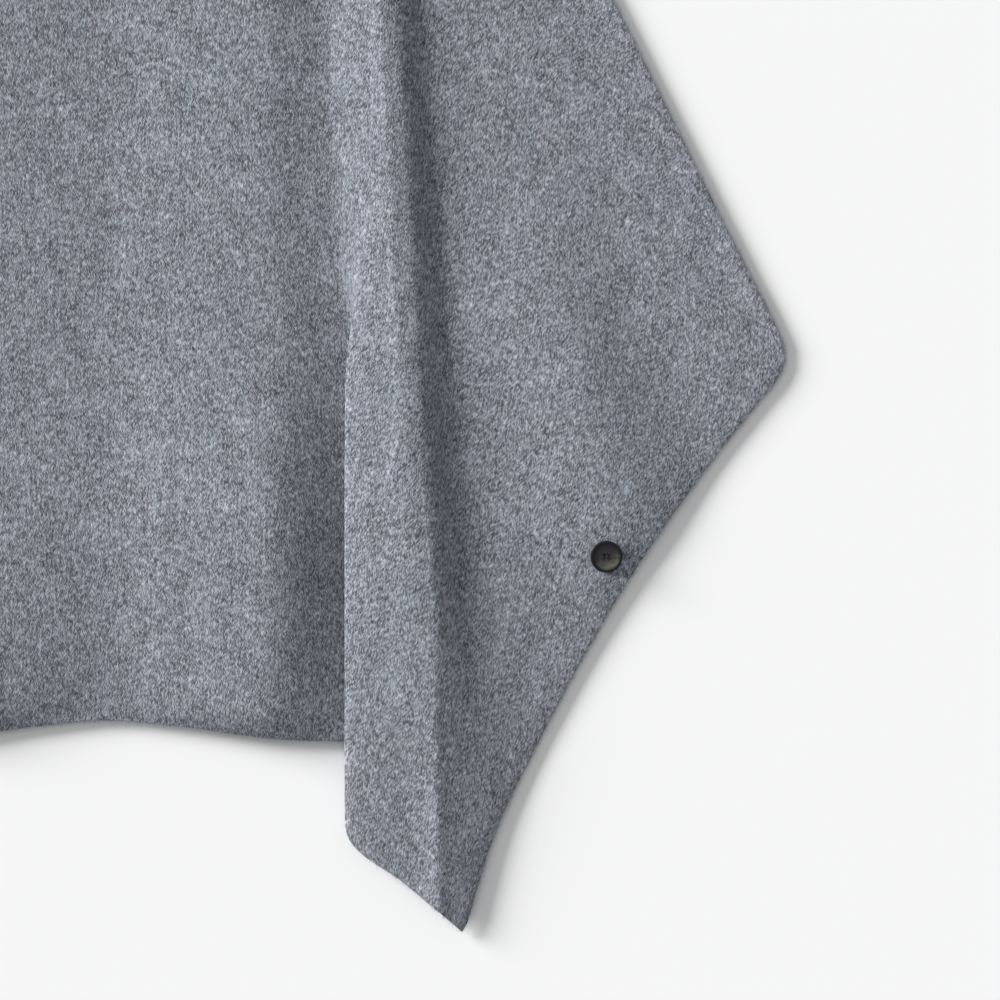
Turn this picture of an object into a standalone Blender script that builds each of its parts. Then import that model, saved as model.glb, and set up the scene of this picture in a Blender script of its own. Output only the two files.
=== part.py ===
"""Felted knit poncho sweater, laid flat on a surface with its front facing up.

Frame: +X to the viewer's right, +Y towards the neck, +Z up, with the origin on the surface under
the middle of the garment's outline. The tables are in millimetres, along the laid garment from a
point on its centre line; main moves the finished pieces to the origin. Meshes are in metres.
"""

import math
from collections import namedtuple

import bmesh
import bpy
import numpy as np
from mathutils import Matrix, Vector

MM = 0.001

# Driving dimensions, in millimetres.
CLOTH = 2.5  # thickness of the felted knit
SEAM_GAP = 0.3  # clearance between neighbouring pieces
NECK_HALF_WIDTH = 95.0
NECK_SIDE_Y = 422.0  # height of the neck's side points on the laid garment
FRONT_NECK_DEPTH = 80.0
BACK_NECK_DEPTH = 20.0
BAND_WIDTH = 22.0  # neckband, seam to free edge
BAND_LEAN = 0.5  # share of that width by which the band's side folds lean up, and as much inwards
BACK_HEM_Y = -303.0  # back panel's hem at the centre line
BACK_HEM_DROP = 15.0  # how far that hem falls towards each side
BACK_INSET = 7.0  # the back panel lies this far inside the front's side edges
BUTTON_RADIUS = 10.0
BUTTON_THICKNESS = 3.2
BUTTON_DISH_DEPTH = 0.9
BUTTON_HOLE_RADIUS = 1.0
BUTTON_HOLE_PITCH = 2.8

# Heights of the front panel's middle surface.
ON_BACK_Z = CLOTH + SEAM_GAP + CLOTH / 2  # where it lies straight on the back panel
COURSE_SLOPE = 0.10  # fall of the knit's courses from the centre line to the fold
CENTRE_ROUNDING = 0.7  # 0 lets the courses meet in a point at the centre line, 1 in a full curve
OUTER_SAG = 1.15  # above 1 lets them fall more steeply towards the side edge
PLEAT_JUMP = 11.0  # height that the pleat's two hidden turns take up
PLEAT_FULL = 45.0  # depth of the deepest pleat, which closes it fully
PLEAT_FALL = 70.5  # how much lower the hem comes out of the deepest pleat
PLEAT_OPENING = 8.0  # depth within which a pleat changes from folded to open
PLEAT_ENTRY = 0.33  # share of the depth at which the cloth under the flute is lowest

# The panel's courses, from the neckline to the hem: where each crosses the centre line, and where
# it ends on the shoulder seam, the rounded side corner or the side edge. Scoop bends a course from
# a straight line, 0, to the neckline's ellipse, 1. Steps are the mesh rows down to the next course.
Course = namedtuple("Course", "centre_y end_x end_y scoop steps")
COURSES = (
    Course(342, 95, 422, 1.0, 2),
    Course(318, 150, 397, 0.8, 2),
    Course(296, 189.5, 366, 0.5, 1),
    Course(276, 214.5, 336.5, 0.3, 3),
    Course(250, 259, 251.5, 0.1, 3),
    Course(208, 313.8, 144, 0.0, 3),
    Course(150, 368.4, 34, 0.0, 2),
    Course(112, 398.4, -26, 0.0, 1),
    Course(88, 417, -63, 0.0, 1),
    Course(77, 420.8, -73, 0.0, 1),
    Course(68, 421.6, -81.5, 0.0, 1),
    Course(59, 418, -91.5, 0.0, 1),
    Course(44, 403.8, -109.5, 0.0, 2),
    Course(-6, 368, -155.5, 0.0, 2),
    Course(-71, 328.6, -211.5, 0.0, 2),
    Course(-133, 295.4, -267.5, 0.0, 2),
    Course(-193, 265, -325, 0.0, 2),
    Course(-250, 239, -380.5, 0.0, 2),
    Course(-293, 225.3, -424, 0.0, 1),
    Course(-301, 223, -432.2, 0.0, 1),
    Course(-306.5, 219.5, -438.5, 0.0, 0),
)

# The drape of each half of the front, from neck to hem, against the course's centre_y. The pleat's
# outer edge stands at fold_x. Its hidden part reaches that far under, or where under is negative
# the pleat is open and has a slope of that width. Then come the heights of the body at its centre
# line and of the soft swell beside the pleat, the flute's crest, the foot of the crest in the valley
# beyond it, and the heights of the plain cloth halfway to the edge, of its rim and of the edge.
Drape = namedtuple("Drape", "centre_y fold_x under body_z swell_z crest_x crest_z foot_x foot_z plain_z rim_z edge_z")
DRAPES = {
    "right": (
        Drape(342, 50, -12, 4.8, 5, 70, 5.2, 84, 4.7, 4.9, 4.7, 4.6),
        Drape(296, 97, -12, 5.4, 5.8, 117, 7.0, 145, 5.2, 5.4, 4.7, 4.4),
        Drape(250, 131, -12, 6, 6.6, 153, 11.5, 178, 5.6, 5.6, 4.7, 4.3),
        Drape(208, 145, -13, 6.4, 7, 168, 16.0, 194, 6.0, 5.8, 4.8, 4.3),
        Drape(78, 148, -16, 6.9, 7.7, 181, 19.0, 207, 6.2, 5.8, 5.0, 4.6),
        Drape(-6, 150, -11, 8.7, 10, 189, 21.5, 214, 6.0, 7.2, 6.2, 4.9),
        Drape(-71, 148.5, 10, 11, 13, 192, 22.8, 219.5, 6.2, 7.8, 6.8, 5.1),
        Drape(-133, 148, 21, 14.5, 17.5, 197, 23.2, 225, 9.2, 6.7, 5.6, 4.8),
        Drape(-193, 148, 32, 18, 22, 201, 21.5, 228, 12.6, 7.9, 5.9, 4.8),
        Drape(-250, 148, 39, 14, 19.5, 203, 17, 222, 11.7, 9.1, 7.5, 6.3),
        Drape(-290, 148, 43, 7, 13, 205, 13.4, 216, 10.5, 9.3, 8.3, 7.2),
        Drape(-300, 149.4, 42.6, 5.6, 11, 205.5, 12.4, 214, 9.8, 8.7, 7.7, 6.7),
        Drape(-306.5, 154, 42, 5.2, 10, 206, 12, 213, 9.4, 8.3, 7.3, 6.4),
    ),
    "left": (
        Drape(342, 47, -12, 4.8, 5, 68, 5.2, 82, 4.7, 4.9, 4.7, 4.6),
        Drape(296, 92, -12, 5.4, 5.8, 112, 6.8, 140, 5.2, 5.4, 4.7, 4.4),
        Drape(250, 124, -12, 6, 6.6, 143, 10.5, 170, 5.6, 5.6, 4.7, 4.3),
        Drape(208, 138, -13, 6.4, 7.2, 160, 15.0, 187, 6.0, 5.8, 4.8, 4.3),
        Drape(78, 142, -15, 6.9, 8.2, 172, 17.5, 200, 6.2, 6.0, 5.0, 4.6),
        Drape(-6, 144, -10, 8.7, 10, 179, 19.0, 207, 6.2, 7.2, 6.2, 4.9),
        Drape(-71, 146, 8, 11, 12.5, 185, 20.5, 214, 6.6, 7.8, 6.6, 5.0),
        Drape(-133, 149, 18, 14.5, 16, 191, 21, 222, 9, 7, 5.8, 4.8),
        Drape(-193, 151, 28, 18, 20, 198, 20, 227, 12.2, 8.2, 6, 4.8),
        Drape(-250, 152, 35, 14, 18, 202, 17, 221, 11.7, 9.3, 7.7, 6.4),
        Drape(-290, 153, 39, 7, 12.5, 205, 14, 216, 10.8, 9.5, 8.4, 7.3),
        Drape(-300, 154.2, 38.6, 5.6, 10.8, 206, 13, 214, 10.1, 8.9, 7.9, 6.8),
        Drape(-306.5, 158, 38, 5.2, 10, 206, 12.6, 213, 9.7, 8.5, 7.5, 6.6),
    ),
}

# Soft troughs and ridges across the front: a line from start to end, its half widths towards and
# away from the centre line, and its height, negative for a trough. Each fades out at both ends.
Fold = namedtuple("Fold", "name start_x start_y end_x end_y inner_width outer_width height")
SOFT_FOLDS = (
    Fold("right_button_swell", 236, 50, 347, -215, 46, 25, 8.0),
    Fold("right_valley_hollow", 226, 160, 240, -180, 12, 16, -1.2),
    Fold("left_button_swell", -232, 62, -343, -212, 48, 27, 7.0),
    Fold("left_edge_hollow", -345, -135, -240, -330, 15, 15, -1.4),
    Fold("centre_hollow", 8, 250, -6, -300, 34, 34, -1.8),
    Fold("chest_drag", -70, 265, 40, 120, 26, 26, 1.2),
)

# Steps of the mesh between neighbouring stations of a course, from the centre line outwards.
STATION_STEPS = (3, 3, 3, 2, 2, 2, 2, 2, 2, 2, 3, 3, 4, 3, 2)

BUTTONS = (("button_right", 310.0, -204.2), ("button_left", -307.0, -206.0))


def monotone_curve(knots, values, at):
    """Cubic curve through values at knots, with no bulge past them; values may have many columns."""
    knots = np.asarray(knots, float)
    values = np.asarray(values, float).reshape(len(knots), -1)
    widths = np.diff(knots)[:, None]
    slopes = np.diff(values, axis=0) / widths
    tangents = np.empty_like(values)
    tangents[0], tangents[-1] = slopes[0], slopes[-1]
    before, after = slopes[:-1], slopes[1:]
    weight_a = 2 * widths[1:] + widths[:-1]
    weight_b = widths[1:] + 2 * widths[:-1]
    same_way = before * after > 0
    safe_before = np.where(same_way, before, 1.0)
    safe_after = np.where(same_way, after, 1.0)
    mean = (weight_a + weight_b) / (weight_a / safe_before + weight_b / safe_after)
    tangents[1:-1] = np.where(same_way, mean, 0.0)
    at = np.atleast_1d(np.asarray(at, float))
    i = np.clip(np.searchsorted(knots, at, side="right") - 1, 0, len(knots) - 2)
    width = widths[i]
    t = ((at - knots[i])[:, None]) / width
    return (
        values[i] * (2 * t**3 - 3 * t**2 + 1)
        + tangents[i] * width * (t**3 - 2 * t**2 + t)
        + values[i + 1] * (3 * t**2 - 2 * t**3)
        + tangents[i + 1] * width * (t**3 - t**2)
    )


def blend(a, b, share):
    return a + (b - a) * share


def drape_at(side, centre_y):
    """The drape table's row at any course, as a Drape."""
    rows = DRAPES[side]
    knots = [-row.centre_y for row in rows]
    return Drape(centre_y, *monotone_curve(knots, [row[1:] for row in rows], -centre_y)[0])


def stations(side, course):
    """The named points of one course, centre line to edge, as rows of x, y, z for the right half."""
    d = drape_at(side, course.centre_y)
    folded = min(max(0.5 + 0.5 * d.under / PLEAT_OPENING, 0.0), 1.0)
    depth, slope = max(d.under, 0.0), max(-d.under, 0.0)
    rise = PLEAT_JUMP * min(max((d.crest_z - ON_BACK_Z - 1) / 14, 0.0), 1.0)
    turn = rise / 4
    fall = PLEAT_FALL * depth / PLEAT_FULL
    foot_z = blend(blend(ON_BACK_Z, d.swell_z, 0.4), ON_BACK_Z + 0.4, folded)
    top_z = max(foot_z + rise * folded, blend(foot_z, d.crest_z, 0.5))

    # The pleat: share of its fall, x and share of its rise when folded, the same when open.
    pleat = (
        (0.00, PLEAT_ENTRY * depth, 0.00, -0.45, 0.00),
        (0.25, 0.75 * depth, 0.04, -0.20, 0.09),
        (0.42, depth + turn, 0.24, 0.02, 0.24),
        (0.58, 0.75 * depth, 0.46, 0.22, 0.40),
        (0.86, turn + 1, 0.55, 0.42, 0.56),
        (0.93, 0.0, 0.78, 0.68, 0.77),
        (1.00, turn + 1, 1.00, 1.00, 1.00),
    )
    # A course falls gently to the fold, and more steeply from there to the side.
    fold_y = course.centre_y - COURSE_SLOPE * d.fold_x

    def course_y(x, fallen):
        beyond = (x - d.fold_x) / (course.end_x - d.fold_x)
        outer = blend(fold_y - fallen, course.end_y, max(beyond, 0.0) ** OUTER_SAG)
        within = x / d.fold_x
        rounded = blend(within, within**2 * (3 - 2 * within), CENTRE_ROUNDING)
        straight = blend(course.centre_y, fold_y, rounded) if x < d.fold_x else outer
        ellipse_drop = (course.end_y - course.centre_y) * math.sqrt(1 - (x / course.end_x) ** 2)
        return blend(straight, course.end_y - ellipse_drop, course.scoop)

    points = []
    hollow_x, swell_x = 0.27 * d.fold_x, 0.66 * d.fold_x
    points.append((0.0, course.centre_y, d.body_z))
    points.append((hollow_x, course_y(hollow_x, 0.0), blend(d.body_z, d.swell_z, 0.35)))
    points.append((swell_x, course_y(swell_x, 0.0), d.swell_z))
    for fall_share, folded_run, folded_rise, open_run, open_rise in pleat:
        open_x = d.fold_x + slope * open_run
        x = blend(open_x, d.fold_x + folded_run, folded)
        y = blend(course_y(open_x, 0.0), fold_y - fall * fall_share, folded)
        points.append((x, y, blend(foot_z, top_z, blend(open_rise, folded_rise, folded))))
    middle_x = blend(points[-1][0], d.crest_x, 0.5)
    plain_x = blend(d.foot_x, course.end_x, 0.5)
    rim_x = blend(plain_x, course.end_x, 0.7)
    points.append((middle_x, course_y(middle_x, fall), blend(top_z, d.crest_z, 0.66)))
    points.append((d.crest_x, course_y(d.crest_x, fall), d.crest_z))
    points.append((d.foot_x, course_y(d.foot_x, fall), d.foot_z))
    points.append((plain_x, course_y(plain_x, fall), d.plain_z))
    points.append((rim_x, course_y(rim_x, fall), d.rim_z))
    points.append((course.end_x, course.end_y, d.edge_z))
    return np.array(points)


def fold_relief(x, y):
    """Height that the soft folds add at points of the layout."""
    total = np.zeros_like(x)
    for fold in SOFT_FOLDS:
        along_x, along_y = fold.end_x - fold.start_x, fold.end_y - fold.start_y
        length = math.hypot(along_x, along_y)
        share = ((x - fold.start_x) * along_x + (y - fold.start_y) * along_y) / length**2
        away = ((x - fold.start_x) * along_y - (y - fold.start_y) * along_x) / length
        outward = away if fold.start_x < 0 else -away
        width = np.where(outward > 0, fold.outer_width, fold.inner_width)
        fade = np.exp(-np.abs(2.1 * (share - 0.5)) ** 4)
        total += fold.height * fade * np.exp(-((away / width) ** 2))
    return total


def steps_between(knots, counts):
    """The knots with counts[i] even steps between each and the next."""
    spans = [np.linspace(knots[i], knots[i + 1], n, endpoint=False) for i, n in enumerate(counts)]
    return np.concatenate([*spans, knots[-1:]])


def front_stations(course):
    """The points of one whole course, from the left edge to the right."""
    right, left = stations("right", course), stations("left", course)
    left[:, 0] *= -1
    return np.concatenate([left[:0:-1], (right[:1] + left[:1]) / 2, right[1:]])


def front_surface(row_fineness, station_steps):
    """Grid of the front panel's middle surface, rows from neck to hem, left edge to right, in mm."""
    keys = np.array([front_stations(course) for course in COURSES])
    edge_run = np.linalg.norm(np.diff(keys[:, -1, :2], axis=0), axis=1)
    centre_run = np.abs(np.diff([course.centre_y for course in COURSES]))
    knots = np.concatenate([[0.0], np.cumsum(edge_run + centre_run)])
    at = steps_between(knots, [row_fineness * course.steps for course in COURSES[:-1]])
    rows = monotone_curve(knots, keys.reshape(len(keys), -1), at).reshape(len(at), -1, 3)
    grid = []
    for row in rows:
        chord = np.linalg.norm(np.diff(row, axis=0), axis=1)
        along = np.concatenate([[0.0], np.cumsum(chord)])
        at = steps_between(along, (*station_steps[::-1], *station_steps))
        grid.append(monotone_curve(along, row, at))
    grid = np.array(grid)
    lift = fold_relief(grid[:, :, 0], grid[:, :, 1])
    raised = np.clip((grid[:, :, 2] - ON_BACK_Z) / 3.0, 0.0, 1.0)
    lowest = np.where(grid[:, :, 1] > BACK_HEM_Y - 2 * BACK_HEM_DROP, ON_BACK_Z, CLOTH / 2 + SEAM_GAP)
    grid[:, :, 2] = np.maximum(grid[:, :, 2] + lift * raised, lowest)
    return grid


def new_material(name, colour, roughness):
    material = bpy.data.materials.new(name)
    material.use_nodes = True
    shader = material.node_tree.nodes["Principled BSDF"]
    shader.inputs["Base Color"].default_value = (*colour, 1.0)
    shader.inputs["Roughness"].default_value = roughness
    shader.inputs["Metallic"].default_value = 0.0
    return material


def add_object(name, mesh, material, collection):
    obj = bpy.data.objects.new(name, mesh)
    mesh.materials.append(material)
    collection.objects.link(obj)
    return obj


def grid_mesh(name, grid, closed=False):
    """A mesh of quads over a grid of points; closed joins the last column to the first."""
    rows, columns = grid.shape[:2]
    last = columns if closed else columns - 1
    faces = [
        (r * columns + c, (r + 1) * columns + c,
         (r + 1) * columns + (c + 1) % columns, r * columns + (c + 1) % columns)
        for r in range(rows - 1)
        for c in range(last)
    ]
    mesh = bpy.data.meshes.new(name)
    mesh.from_pydata(grid.reshape(-1, 3).tolist(), [], faces)
    mesh.shade_smooth()
    return mesh


def make_cloth(obj):
    """Gives a surface the cloth's thickness, half to each side."""
    wall = obj.modifiers.new("cloth_thickness", "SOLIDIFY")
    wall.thickness = CLOTH * MM
    wall.offset = 0.0
    wall.use_even_offset = False


def build_front(material, collection):
    grid = front_surface(1, STATION_STEPS) * MM
    obj = add_object("front_panel", grid_mesh("front_panel", grid), material, collection)
    make_cloth(obj)
    return grid


def back_outline():
    """The back panel's outline for the right half, from the neck's centre round to the hem's centre."""
    points = []
    neck_steps = 8
    for i in range(neck_steps):
        angle = math.pi / 2 * i / neck_steps
        x = NECK_HALF_WIDTH * math.sin(angle)
        points.append((x, NECK_SIDE_Y - BACK_NECK_DEPTH * math.cos(angle)))
    seam_and_side = [(c.end_x, c.end_y) for c in COURSES]
    corner = max(seam_and_side)
    hem_side_y = BACK_HEM_Y - BACK_HEM_DROP
    for i, (x, y) in enumerate(seam_and_side):
        if y >= corner[1] + 1:
            points.append((x, y))
            continue
        before = seam_and_side[i - 1]
        run = math.hypot(x - before[0], y - before[1])
        inward = ((y - before[1]) / run, -(x - before[0]) / run)
        if y > hem_side_y:
            points.append((x + inward[0] * BACK_INSET, y + inward[1] * BACK_INSET))
            continue
        share = (hem_side_y - before[1]) / (y - before[1])
        points.append((blend(before[0], x, share) - BACK_INSET, hem_side_y))
        break
    points.append((0.0, BACK_HEM_Y))
    return points


def build_back(material, collection):
    half = back_outline()
    outline = half[1:-1] + [half[-1]] + [(-x, y) for x, y in reversed(half[1:-1])] + [half[0]]
    curve = bpy.data.curves.new("back_panel", "CURVE")
    curve.dimensions = "2D"
    curve.fill_mode = "BOTH"
    curve.extrude = CLOTH / 2 * MM
    spline = curve.splines.new("POLY")
    spline.points.add(len(outline) - 1)
    for point, (x, y) in zip(spline.points, outline):
        point.co = (x * MM, y * MM, 0.0, 1.0)
    spline.use_cyclic_u = True
    obj = bpy.data.objects.new("back_panel", curve)
    obj.location.z = CLOTH / 2 * MM
    curve.materials.append(material)
    collection.objects.link(obj)


def neckband_grid(front_edge):
    """Rows of points round the neckband's middle surface, from its seam to its free edge, in mm."""
    back_z, turn_steps, back_steps = CLOTH / 2, 6, 16
    turn = (front_edge[0, 2] - back_z) / 2
    fold_x, fold_y = NECK_HALF_WIDTH - turn - CLOTH / 2, NECK_SIDE_Y + 2 * SEAM_GAP
    rise = BAND_WIDTH * BAND_LEAN
    narrowing = 1 - rise / NECK_HALF_WIDTH

    # The front's own edge, moved across the seam, up to the folds at the band's sides.
    along = np.gradient(front_edge[:, :2], axis=0)
    along /= np.linalg.norm(along, axis=1)[:, None]
    front = front_edge + 2 * SEAM_GAP * np.column_stack([-along[:, 1], along[:, 0], 0 * along[:, 0]])
    ring = [(x, y, z, FRONT_NECK_DEPTH, 0.0) for x, y, z in front if abs(x) < fold_x]
    turns = [math.pi * i / turn_steps for i in range(turn_steps + 1)]
    for angle in turns:
        z = back_z + turn * (1 + math.cos(angle))
        ring.append((fold_x, fold_y, z, BACK_NECK_DEPTH, turn * math.sin(angle)))
    for i in range(1, back_steps):
        angle = math.pi * i / back_steps
        y = fold_y - BACK_NECK_DEPTH * math.sin(angle)
        ring.append((fold_x * math.cos(angle), y, back_z, BACK_NECK_DEPTH, 0.0))
    for angle in turns:
        z = back_z + turn * (1 - math.cos(angle))
        ring.append((-fold_x, fold_y, z, BACK_NECK_DEPTH, turn * math.sin(angle)))
    x, y, z, depth, bulge = np.array(ring).T

    # The band's side folds lean inwards, and each bulges out square to its own line.
    free_x = x * narrowing
    free_y = NECK_SIDE_Y + rise - (depth - BAND_WIDTH + rise) * np.sqrt(1 - (x / fold_x) ** 2)
    lean = math.atan2(fold_x * (1 - narrowing), NECK_SIDE_Y + rise - fold_y)
    out_x, out_y = bulge * np.sign(x) * math.cos(lean), bulge * math.sin(lean)
    seam = np.column_stack([x + out_x, y + out_y, z])
    free = np.column_stack([free_x + out_x, free_y + out_y, z])
    return np.array([blend(seam, free, share) for share in (0.0, 1 / 3, 2 / 3, 1.0)])


def build_neckband(front_grid, material, collection):
    mesh = grid_mesh("neckband", neckband_grid(front_grid[0] / MM) * MM, closed=True)
    make_cloth(add_object("neckband", mesh, material, collection))


def surface_frame(grid, x, y, radius):
    """The front's uppermost surface round a point: the point over it and its upward normal."""
    points = grid.reshape(-1, 3)
    near = points[np.hypot(points[:, 0] - x, points[:, 1] - y) < radius]
    base = np.column_stack([near[:, :2] - (x, y), np.ones(len(near))])
    slope_x, slope_y, height = np.linalg.lstsq(base, near[:, 2], rcond=None)[0]
    normal = Vector((-slope_x, -slope_y, 1.0)).normalized()
    bulge = max(near[:, 2] - base @ (slope_x, slope_y, height))
    return Vector((x, y, height)), normal, bulge


def button_mesh(name):
    """A turned button with a raised rim, lying on z = 0 and facing up."""
    radius, thick = BUTTON_RADIUS * MM, BUTTON_THICKNESS * MM
    dish = thick - BUTTON_DISH_DEPTH * MM
    profile = (
        (0.0, dish),
        (0.42 * radius, dish),
        (0.62 * radius, dish + 0.15 * MM),
        (0.76 * radius, thick - 0.12 * MM),
        (0.86 * radius, thick),
        (0.95 * radius, thick - 0.35 * MM),
        (radius, 0.55 * thick),
        (0.96 * radius, 0.25 * thick),
        (0.80 * radius, 0.0),
        (0.0, 0.0),
    )
    mesh = bpy.data.meshes.new(name)
    points = [(r, 0.0, z) for r, z in profile]
    mesh.from_pydata(points, [(i, i + 1) for i in range(len(points) - 1)], [])
    return mesh


def button_cutter(name, collection):
    """Four round pins that cut the thread holes."""
    pins = bmesh.new()
    for sx in (-0.5, 0.5):
        for sy in (-0.5, 0.5):
            place = Matrix.Translation((sx * BUTTON_HOLE_PITCH * MM, sy * BUTTON_HOLE_PITCH * MM, 0.0))
            bmesh.ops.create_cone(
                pins, cap_ends=True, segments=12, radius1=BUTTON_HOLE_RADIUS * MM,
                radius2=BUTTON_HOLE_RADIUS * MM, depth=4 * BUTTON_THICKNESS * MM, matrix=place,
            )
    mesh = bpy.data.meshes.new(name)
    pins.to_mesh(mesh)
    pins.free()
    cutter = bpy.data.objects.new(name, mesh)
    collection.objects.link(cutter)
    cutter.hide_render = True
    cutter.display_type = "WIRE"
    return cutter


def build_button(name, x, y, close_grid, material, parts, cutters):
    place, normal, bulge = surface_frame(close_grid, x * MM, y * MM, 1.2 * BUTTON_RADIUS * MM)
    lift = bulge + (CLOTH / 2 + SEAM_GAP) * MM
    turn = Vector((0.0, 0.0, 1.0)).rotation_difference(normal).to_matrix().to_4x4()
    matrix = Matrix.Translation(place + normal * lift) @ turn
    obj = add_object(name, button_mesh(name), material, parts)
    obj.matrix_world = matrix
    screw = obj.modifiers.new("turned", "SCREW")
    screw.axis = "Z"
    screw.steps = screw.render_steps = 36
    screw.use_merge_vertices = True
    screw.merge_threshold = 0.00005
    screw.use_normal_calculate = True
    cutter = button_cutter(name + "_holes", cutters)
    cutter.matrix_world = matrix
    cut = obj.modifiers.new("thread_holes", "BOOLEAN")
    cut.operation = "DIFFERENCE"
    cut.object = cutter


def move_to_origin(parts, cutters):
    """Moves everything sideways until the middle of the garment's outline is over the origin."""
    graph = bpy.context.evaluated_depsgraph_get()
    lowest, highest = Vector((math.inf, math.inf)), Vector((-math.inf, -math.inf))
    for obj in parts.objects:
        for vertex in obj.evaluated_get(graph).to_mesh().vertices:
            place = obj.matrix_world @ vertex.co
            lowest = Vector(map(min, lowest, place))
            highest = Vector(map(max, highest, place))
    middle = (lowest + highest) / 2
    for obj in (*parts.objects, *cutters.objects):
        obj.location -= Vector((middle.x, middle.y, 0.0))


def main():
    for obj in list(bpy.data.objects):
        bpy.data.objects.remove(obj, do_unlink=True)
    parts = bpy.data.collections.new("poncho")
    cutters = bpy.data.collections.new("cutters")
    bpy.context.scene.collection.children.link(parts)
    bpy.context.scene.collection.children.link(cutters)
    wool = new_material("grey_felted_wool", (0.20, 0.21, 0.24), 0.95)
    horn = new_material("dark_horn", (0.03, 0.03, 0.032), 0.35)
    front_grid = build_front(wool, parts)
    build_back(wool, parts)
    build_neckband(front_grid, wool, parts)
    close_grid = front_surface(4, [4 * steps for steps in STATION_STEPS]) * MM
    for name, x, y in BUTTONS:
        build_button(name, x, y, close_grid, horn, parts, cutters)
    bpy.context.view_layer.update()
    move_to_origin(parts, cutters)


main()
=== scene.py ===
# %% [markdown]
# # A felted wool poncho, laid flat
#
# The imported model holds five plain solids: the front panel, the back panel, the neckband and two
# buttons. This lesson dresses them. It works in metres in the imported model's own frame, with +X
# to the right, +Y towards the neck and +Z up off the table, so every piece is made in its place.

# %% Open the frame
import math
from collections import namedtuple

import bmesh
import bpy
import numpy as np
from mathutils import Matrix, Vector


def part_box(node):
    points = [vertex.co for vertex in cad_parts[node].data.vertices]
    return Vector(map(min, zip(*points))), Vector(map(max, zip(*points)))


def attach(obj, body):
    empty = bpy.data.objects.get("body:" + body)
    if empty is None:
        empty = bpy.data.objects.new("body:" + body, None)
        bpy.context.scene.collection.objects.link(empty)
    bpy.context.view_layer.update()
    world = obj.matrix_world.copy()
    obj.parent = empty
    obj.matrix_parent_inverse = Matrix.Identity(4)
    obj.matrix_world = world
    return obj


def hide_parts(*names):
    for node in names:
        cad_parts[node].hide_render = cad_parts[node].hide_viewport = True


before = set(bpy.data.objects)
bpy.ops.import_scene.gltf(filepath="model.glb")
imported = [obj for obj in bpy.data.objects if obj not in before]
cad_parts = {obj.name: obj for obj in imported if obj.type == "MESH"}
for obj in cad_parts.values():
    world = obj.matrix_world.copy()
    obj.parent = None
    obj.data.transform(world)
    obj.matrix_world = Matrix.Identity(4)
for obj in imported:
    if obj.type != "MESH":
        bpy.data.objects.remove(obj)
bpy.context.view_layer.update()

MM = 0.001
print("solids:", sorted(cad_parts))

# %% [markdown]
# ## Sizes
#
# All the sizes of the garment are named here once, in millimetres. The cloth is a heavy knit that
# was felted until its stitches closed, 2.5 mm thick. The layout's own zero lies on the centre line
# a little off the frame's origin, and the back panel's top edge gives the distance between them.

# %% Named sizes
CLOTH = 2.5  # thickness of the felted knit
SEAM_GAP = 0.3  # clearance between neighbouring pieces
NECK_HALF_WIDTH = 95.0
NECK_SIDE_Y = 422.0
FRONT_NECK_DEPTH = 80.0
BACK_NECK_DEPTH = 20.0
BAND_WIDTH = 22.0
BAND_LEAN = 0.5
BACK_HEM_Y = -303.0
BACK_HEM_DROP = 15.0
BACK_INSET = 7.0
EDGE_DROOP = 0.5  # how far the side edges sink beyond the back panel
ALLOWANCE_WIDTH = 6.0  # seam allowance inside the shoulders, which shows as a low ridge
ALLOWANCE_RISE = 1.2
SEAM_FLAT = 2.0  # how far the ridge keeps its full height from the edge
SEAM_FADE = 15.0  # over which the ridge fades out at the shoulder's end
CORNER_Y = -80.0  # the shoulders end there
BUTTON_RADIUS = 10.0
BUTTON_THICKNESS = 3.2
ON_BACK_Z = CLOTH + SEAM_GAP + CLOTH / 2  # middle surface of a cloth that lies on the back panel

LAYOUT_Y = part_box("back_panel")[1].y / MM - NECK_SIDE_Y
ORIGIN = np.array([0.0, LAYOUT_Y, 0.0])
print(f"layout zero at y = {LAYOUT_Y:.2f} mm")

# %% [markdown]
# ## How the front panel lies
#
# On the real garment the front is one panel, wider than the back that it lies on. Laid flat, it
# falls into one deep fold down each side: a flute, with a pleat hidden under its inner edge. A
# cloth simulation would put those folds where it likes. Here they have to lie in their places, so a
# table of courses (the knit's rows) and a table of drapes (how high each part of a course lies) are
# joined by smooth curves instead.

# %% Courses of the front panel
COURSE_SLOPE = 0.10  # fall of the courses from the centre line to the fold
CENTRE_ROUNDING = 0.7  # 0 lets them meet in a point at the centre line, 1 in a full curve
OUTER_SAG = 1.15  # above 1 lets them fall more steeply towards the side edge
PLEAT_JUMP = 11.0  # height that the pleat's two hidden turns take up
PLEAT_FULL = 45.0  # depth of the deepest pleat
PLEAT_FALL = 70.5  # how much lower the hem comes out of the deepest pleat
PLEAT_OPENING = 8.0  # depth within which a pleat changes from folded to open
PLEAT_ENTRY = 0.33  # share of the depth at which the cloth under the flute is lowest
FULL_FLUTE = 14.0  # a crest this far over the back panel has a pleat of full height
HOLLOW_AT, SWELL_AT = 0.27, 0.66  # where the body's hollow and swell lie on the way to the fold

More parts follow.
